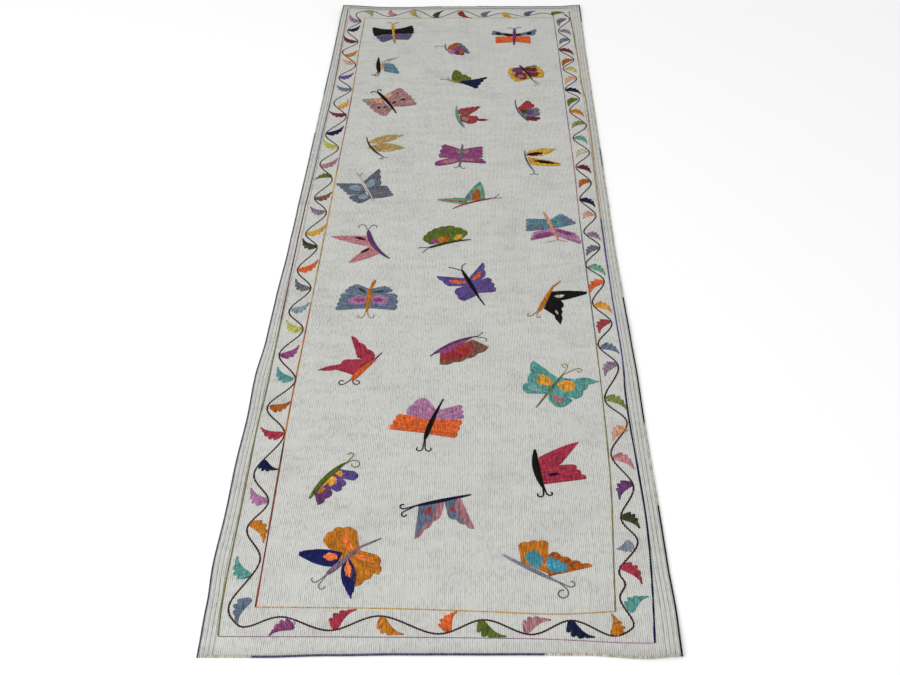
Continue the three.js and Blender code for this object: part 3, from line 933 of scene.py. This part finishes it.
butterfly(
    10,
    petal("straw", (-250, 368), (-148, 408), 36, [(0.6, 0.35, 0.4, 0.3, "tan")]),
    petal("straw", (-248, 345), (-140, 341), 44, [(0.5, 0.38, 0.4, 0.3, "tan")]),
    body("dark_olive", (-253, 397), (-203, 300), 7, -0.09, 0.6),
    feeler("dark_olive", (-204, 303), 290, 32, -230, 2.0, 0.35),
    feeler("slate", (-203, 300), 315, 22, 140),
)
butterfly(
    11,
    wing("magenta", (18, 330), (-34, 358), (-45, 290), (14, 286), 3, 5, 0.03,
         patches=[(0.3, 0.12, 0.16, 0.16, "dusty_pink")]),
    wing("magenta", (10, 290), (-50, 273), (-53, 250), (10, 268), 1, 2, 0.15, bow=0.2,
         patches=[(0.5, 0.36, 0.3, 0.36, "rose")]),
    wing("magenta", (16, 328), (74, 344), (74, 288), (14, 284), 4, 5, 0.0, bow=0.04,
         patches=[(0.3, 0.2, 0.14, 0.22, "dusty_pink")]),
    wing("magenta", (14, 290), (68, 284), (84, 261), (12, 268), 2, 4, 0.10,
         patches=[(0.45, 0.36, 0.3, 0.34, "rose")]),
    body("grey", (19, 355), (12, 243), 9, 0.0, 0.45),
    feeler("dark_slate", (11, 254), 245, 28, -180),
    feeler("dark_slate", (13, 254), 285, 32, 180),
)
butterfly(
    12,
    petal("gold", (188, 299), (279, 329), 36, [(0.64, 0.26, 0.26, 0.28, "black")]),
    wing("gold", (198, 288), (284, 260), (286, 246), (204, 253), 1, 2, bow=0.3,
         patches=[(0.42, 0.54, 0.24, 0.38, "black"), (0.4, 0.02, 0.5, 0.12, "amber")]),
    body("dark_slate", (191, 322), (213, 222), 5, -0.06, 0.5),
    feelers("slate", (213, 226), (268, 32, -160), (272, 32, 160)),
)
butterfly(
    13,
    wing("dark_slate", (-249, 168), (-318, 168), (-276, 114), (-232, 128), 4, 4, 0.0,
         patches=[(0.45, 0.35, 0.3, 0.28, "mist")]),
    wing("dark_slate", (-238, 130), (-276, 108), (-242, 76), (-218, 100), 3, 4, 0.12,
         patches=[(0.5, 0.3, 0.3, 0.3, "mist")]),
    wing("dark_slate", (-246, 174), (-205, 238), (-196, 160), (-232, 138), 3, 4, 0.0,
         patches=[(0.6, 0.35, 0.28, 0.3, "mist")]),
    wing("dark_slate", (-235, 146), (-182, 158), (-160, 112), (-220, 98), 4, 4, 0.0, bow=0.05,
         patches=[(0.45, 0.35, 0.3, 0.3, "grey")]),
    body("cream", (-257, 206), (-209, 85), 4, 0.0, 0.5),
    feelers("olive", (-256, 202), (122, 18, 20), (72, 16, -20)),
)
butterfly(
    14,
    wing("jade", (24, 82), (64, 172), (69, 172), (79, 92), bow=1.0,
         patches=[(0.55, 0.28, 0.24, 0.3, "rust"), (0.08, 0.2, 0.14, 0.25, "slate")]),
    wing("jade", (36, 98), (-43, 95), (-43, 89), (34, 68), bow=0.4,
         patches=[(0.6, 0.35, 0.16, 0.42, "rust")]),
    body("red", (-3, 50), (106, 98), 7, 0.05, 0.6),
    feelers("maroon", (104, 97), (50, 24, 20), (5, 22, -20)),
)
butterfly(
    15,
    wing("teal_blue", (244, 4), (186, 7), (184, -46), (248, -36), 4, 4, 0.0,
         patches=[(0.8, 0.7, 0.3, 0.35, "slate")]),
    wing("teal_blue", (244, 0), (272, 27), (310, -14), (254, -36), 4, 4, 0.06,
         patches=[(0.6, 0.35, 0.15, 0.15, "teal"), (0.7, 0.8, 0.4, 0.3, "slate")]),
    wing("lilac", (250, -32), (204, -48), (193, -83), (258, -64), 3, 4, 0.0,
         patches=[(0.7, 0.5, 0.3, 0.45, "magenta")]),
    wing("lilac", (254, -32), (296, -50), (316, -98), (262, -68), 3, 4, 0.12,
         patches=[(0.3, 0.4, 0.3, 0.4, "magenta")]),
    body("peach", (231, 35), (263, -85), 10, fattest=0.5),
    feelers("peach", (262, -80), (205, 32, -30), (330, 25, 30)),
)
butterfly(
    16,
    wing("pink", (-210, -64), (-304, -63), (-304, -67), (-198, -108), bow=0.5),
    wing("pink", (-202, -100), (-253, -167), (-249, -170), (-174, -130), bow=0.5),
    body("plum", (-214, -40), (-153, -153), 14, -0.09, 0.3),
    feelers("olive", (-215, -40), (110, 50, 200, 1.8, 0.35), (70, 46, -200, 1.8, 0.35)),
    spot("brown_black", -231, -74, 10, 28, -20), spot("brown_black", -215, -122, 10, 26, 40),
)
butterfly(
    17,
    wing("leaf_green", (-56, -98), (-75, -78), (3, -22), (-8, -88), 5, 4, 0.2,
         patches=[(0.28, 0.16, 0.2, 0.22, "magenta"), (0.62, 0.16, 0.16, 0.2, "ochre"),
                  (0.86, 0.18, 0.1, 0.26, "rust")]),
    wing("leaf_green", (-10, -88), (4, -28), (37, -58), (18, -82), 2, 4, 0.2,
         patches=[(0.6, 0.3, 0.3, 0.28, "gold")]),
    body("dark_olive", (-57, -111), (45, -80), 9, 0.05, 0.2),
    feelers("dark_olive", (-54, -109), (185, 32, 0), (215, 30, 40, 1.7, 0.0)),
)
butterfly(
    18,
    wing("violet", (40, -230), (-38, -221), (-6, -259), (46, -258), 2, 3, 0.0,
         patches=[(0.5, 0.42, 0.2, 0.33, "orange")]),
    wing("violet", (44, -252), (10, -268), (30, -312), (62, -290), 2, 4, 0.14),
    wing("violet", (40, -230), (76, -169), (81, -222), (54, -252), 2, 3, 0.0,
         patches=[(0.5, 0.42, 0.22, 0.34, "orange")]),
    wing("violet", (48, -246), (88, -226), (104, -278), (62, -283), 3, 5, 0.06),
    body("black", (24, -198), (66, -301), 11, 0.0, 0.45),
    body("black", (60, -290), (79, -327), 4),
    feelers("black", (25, -201), (155, 36, 10, 2.0), (95, 32, -80, 2.0, 0.3)),
)
butterfly(
    19,
    wing("slate", (-194, -266), (-222, -249), (-251, -278), (-194, -292), 3, 4, 0.12),
    wing("slate", (-190, -284), (-256, -282), (-266, -342), (-192, -336), 4, 5, 0.0,
         patches=[(0.42, 0.34, 0.3, 0.32, "lilac"), (0.45, 0.3, 0.12, 0.18, "magenta")]),
    wing("slate", (-190, -268), (-162, -257), (-137, -276), (-190, -292), 3, 4, 0.12),
    wing("slate", (-190, -284), (-130, -284), (-127, -342), (-190, -335), 3, 5, 0.06,
         patches=[(0.42, 0.34, 0.3, 0.32, "lilac"), (0.45, 0.3, 0.12, 0.18, "magenta")]),
    spot("dark_olive", -210, -272, 8, 24, -40), spot("dark_olive", -170, -278, 7, 26, 15),
    body("ochre", (-182, -235), (-191, -272), 9),
    body("ochre", (-190, -262), (-193, -348), 14),
    feeler("tan", (-194, -344), 258, 46, -220, 1.8, 0.4),
    feeler("tan", (-192, -344), 282, 46, 220, 1.8, 0.4),
)
butterfly(
    20,
    wing("black", (228, -280), (318, -279), (316, -287), (236, -314), bow=0.5,
         patches=[(0.55, 0.24, 0.14, 0.14, "cream")]),
    wing("black", (232, -290), (256, -310), (246, -368), (214, -338), 2, 5, 0.1),
    petal("black", (243, -346), (250, -392), 17),
    spot("cream", 243, -352, 6, 14, -70),
    body("ochre", (202, -348), (241, -256), 12, 0.0, 0.27),
    body("ochre", (236, -266), (258, -240), 4),
    feelers("ochre", (203, -343), (230, 48, -230, 2.2, 0.5), (252, 40, 230, 2.2, 0.5)),
)
butterfly(
    21,
    wing("crimson", (-202, -498), (-220, -428), (-161, -492), (-170, -518), 3, 4, 0.0),
    petal("crimson", (-206, -540), (-168, -500), 16),
    wing("crimson", (-176, -505), (-224, -504), (-250, -532), (-204, -554), 2, 4, 0.0),
    petal("crimson", (-225, -525), (-283, -539), 15),
    body("clay", (-168, -514), (-148, -484), 4),
    body("orange", (-207, -570), (-161, -507), 15, 0.04, 0.3),
    feelers("brown_black", (-206, -565), (226, 56, -290, 2.4, 0.35), (280, 46, 300, 2.4, 0.2)),
)
butterfly(
    22,
    petal("magenta", (-36, -489), (54, -432), 17),
    wing("clay", (-20, -484), (-18, -523), (88, -468), (52, -442), 4, 4, 0.08,
         patches=[(0.4, 0.4, 0.42, 0.42, "red"), (0.2, 0.05, 0.3, 0.15, "magenta")]),
    body("plum", (-41, -496), (64, -431), 6, 0.09, 0.5),
    feelers("plum", (60, -434), (48, 22, -10), (350, 32, -110)),
)
butterfly(
    23,
    wing("teal", (236, -564), (181, -508), (168, -582), (216, -594), 2, 4, 0.0,
         patches=[(0.6, 0.36, 0.32, 0.3, "amber")]),
    wing("teal", (218, -586), (163, -578), (166, -608), (208, -610), 1, 2, 0.2,
         patches=[(0.5, 0.5, 0.25, 0.2, "mist")]),
    wing("teal", (238, -560), (298, -574), (268, -626), (222, -594), 2, 5, 0.08,
         patches=[(0.5, 0.36, 0.38, 0.28, "amber")]),
    petal("teal", (262, -571), (320, -573), 20),
    wing("teal", (216, -590), (211, -625), (260, -630), (236, -590), 1, 2, 0.4,
         patches=[(0.5, 0.6, 0.3, 0.22, "dusty_pink")]),
    body("olive", (246, -551), (184, -649), 5, 0.0, 0.4),
    feelers("straw", (244, -554), (62, 62, 320, 1.9, 0.4), (32, 70, -300, 1.9, 0.5)),
)
butterfly(
    24,
    wing("lilac", (-24, -656), (-50, -620), (-85, -668), (-36, -690), 2, 4, 0.12, bow=0.04),
    wing("lilac", (-24, -658), (28, -641), (34, -680), (-30, -690), 3, 5, 0.0),
    wing("orange", (-34, -684), (-100, -667), (-119, -709), (-40, -720), 3, 4, 0.0),
    wing("orange", (-34, -684), (31, -685), (18, -733), (-38, -722), 3, 4, 0.0),
    body("black", (-9, -625), (-44, -738), 13, -0.02, 0.72),
    feeler("brown_black", (-44, -734), 264, 52, -230, 2.7, 0.5),
    feeler("brown_black", (-43, -734), 272, 52, 230, 2.7, 0.5),
)
butterfly(
    25,
    wing("violet", (-212, -814), (-178, -820), (-177, -843), (-222, -834), 1, 2, 0.3,
         patches=[(0.6, 0.18, 0.4, 0.2, "amber")]),
    wing("violet", (-216, -826), (-192, -846), (-207, -872), (-240, -850), 2, 5, 0.04,
         patches=[(0.6, 0.2, 0.42, 0.32, "amber")]),
    wing("plum", (-228, -850), (-215, -874), (-240, -904), (-252, -872), 2, 4, 0.0,
         patches=[(0.55, 0.22, 0.25, 0.2, "ochre")]),
    body("leaf_green", (-199, -799), (-259, -888), 13, -0.06, 0.45),
    feelers("olive", (-201, -803), (52, 48, 220, 1.9, 0.5), (35, 68, -320, 1.9, 0.2)),
)
butterfly(
    26,
    wing("crimson", (183, -784), (267, -742), (229, -798), (182, -820), bulge=0.0, bow=0.11),
    wing("crimson", (182, -806), (252, -800), (276, -836), (186, -852), 3, 5, -0.04),
    body("black", (177, -763), (190, -861), 16, -0.05, 0.5),
    spot("navy", 211, -827, 8, 22, 12),
    feeler("black", (189, -854), 272, 44, -220, 3.3, 0.45),
    feeler("black", (190, -854), 284, 42, 220, 3.3, 0.45),
)
butterfly(
    27,
    wing("slate", (-48, -900), (-52, -982), (-3, -922), (0, -892), 3, 4, 0.0,
         patches=[(1.0, 0.6, 0.38, 0.7, "rose"), (0.45, 1.05, 0.5, 0.28, "rose"),
                  (0.4, 0.32, 0.14, 0.14, "coral")]),
    wing("slate", (0, -892), (6, -927), (57, -959), (30, -884), 3, 4, 0.0,
         patches=[(0.95, 0.55, 0.4, 0.8, "rose"), (0.35, 0.5, 0.14, 0.16, "coral")]),
    body("navy", (-53, -904), (51, -877), 9, 0.0, 0.4),
    feelers("navy", (-50, -902), (200, 52, -250, 2.9, 0.5), (211, 56, 250, 2.9, 0.55)),
)
butterfly(
    28,
    wing("ochre", (-185, -1030), (-223, -984), (-162, -961), (-154, -1002), 3, 5, 0.27,
         patches=[(0.62, 0.4, 0.12, 0.35, "tangerine")]),
    wing("ochre", (-158, -1004), (-118, -1016), (-112, -1058), (-174, -1030), 2, 4, 0.08,
         patches=[(0.45, 0.36, 0.14, 0.34, "tangerine")]),
    wing("ochre", (-150, -1036), (-122, -1056), (-155, -1084), (-172, -1034), 2, 4, 0.04),
    wing("royal", (-182, -1012), (-263, -1009), (-263, -1017), (-194, -1042), bow=0.8,
         patches=[(0.4, 0.22, 0.25, 0.17, "tangerine")]),
    petal("royal", (-175, -1018), (-159, -1108), 27, [(0.5, 0.3, 0.24, 0.2, "tangerine")]),
    body("mauve", (-156, -1001), (-114, -979), 4, 0.0, 0.4),
    body("mauve", (-207, -1058), (-149, -996), 12, 0.0, 0.3),
    feelers("mauve", (-204, -1055), (225, 46, -180, 1.9, 0.52), (238, 52, 220, 1.9, 0.5)),
)
butterfly(
    29,
    wing("ochre", (142, -1030), (138, -991), (193, -985), (188, -1054), 3, 4, 0.08,
         patches=[(0.5, 0.32, 0.33, 0.3, "turquoise")]),
    wing("rust", (182, -1024), (200, -1006), (272, -1036), (190, -1060), 4, 4, -0.05,
         patches=[(0.5, 0.34, 0.45, 0.3, "turquoise")]),
    body("sky_grey", (109, -1014), (206, -1071), 8, -0.01, 0.55),
    feelers("grey", (204, -1069), (316, 78, -340, 2.0, 0.25), (330, 50, 230, 1.9, 0.45)),
)


# The floor and the light: a plain white floor, an even white sky, and one broad soft lamp from the
# near left, so that ribs and stitches show their relief.
floor_material, tree, surface = new_material("white_floor", roughness=0.9, specular=0.2)
surface.inputs["Base Color"].default_value = (0.95, 0.95, 0.95, 1)
floor_mesh = bpy.data.meshes.new("floor")
REACH = 7.0
floor_mesh.from_pydata(
    [(-REACH, -REACH, 0), (REACH, -REACH, 0), (REACH, REACH, 0), (-REACH, REACH, 0)], [], [(0, 1, 2, 3)])
floor_mesh.materials.append(floor_material)
floor = bpy.data.objects.new("floor", floor_mesh)
floor.location.z = -0.0002
bpy.context.scene.collection.objects.link(floor)

sky = bpy.data.worlds.new("sky")
sky.use_nodes = True
sky.node_tree.nodes["Background"].inputs["Color"].default_value = (1, 1, 1, 1)
sky.node_tree.nodes["Background"].inputs["Strength"].default_value = 0.86
bpy.context.scene.world = sky
lamp = bpy.data.lights.new("window", "AREA")
lamp.shape, lamp.size, lamp.size_y, lamp.energy = "RECTANGLE", 2.4, 2.4, 75
window = bpy.data.objects.new("window", lamp)
window.location = (-2.6, -2.2, 2.6)
window.rotation_euler = (math.radians(50), 0, math.radians(-48))
bpy.context.scene.collection.objects.link(window)

# The camera stands at eye level before the near end and looks down along the runner.
CAMERA_AT = np.append(EYE + PATTERN, EYE_HEIGHT) * MM
LENS = 41.0
DOWN, LEFTWARD, TILT = math.radians(43.0), math.radians(2.41), math.radians(-1.73)
look = np.array([
    -math.sin(LEFTWARD) * math.cos(DOWN), math.cos(LEFTWARD) * math.cos(DOWN), -math.sin(DOWN)])
level = np.array([math.cos(LEFTWARD), math.sin(LEFTWARD), 0])
upward = np.cross(level, look)
right = math.cos(TILT) * level + math.sin(TILT) * upward
up = math.cos(TILT) * upward - math.sin(TILT) * level
camera = bpy.data.objects.new("camera", bpy.data.cameras.new("camera"))
camera.data.lens = LENS
camera.data.clip_start, camera.data.clip_end = 0.05, 50
camera.matrix_world = Matrix.Translation(CAMERA_AT) @ Matrix(np.stack([right, up, -look], 1)).to_4x4()
bpy.context.scene.collection.objects.link(camera)
bpy.context.scene.camera = camera
bpy.context.scene.view_settings.view_transform = "Standard"
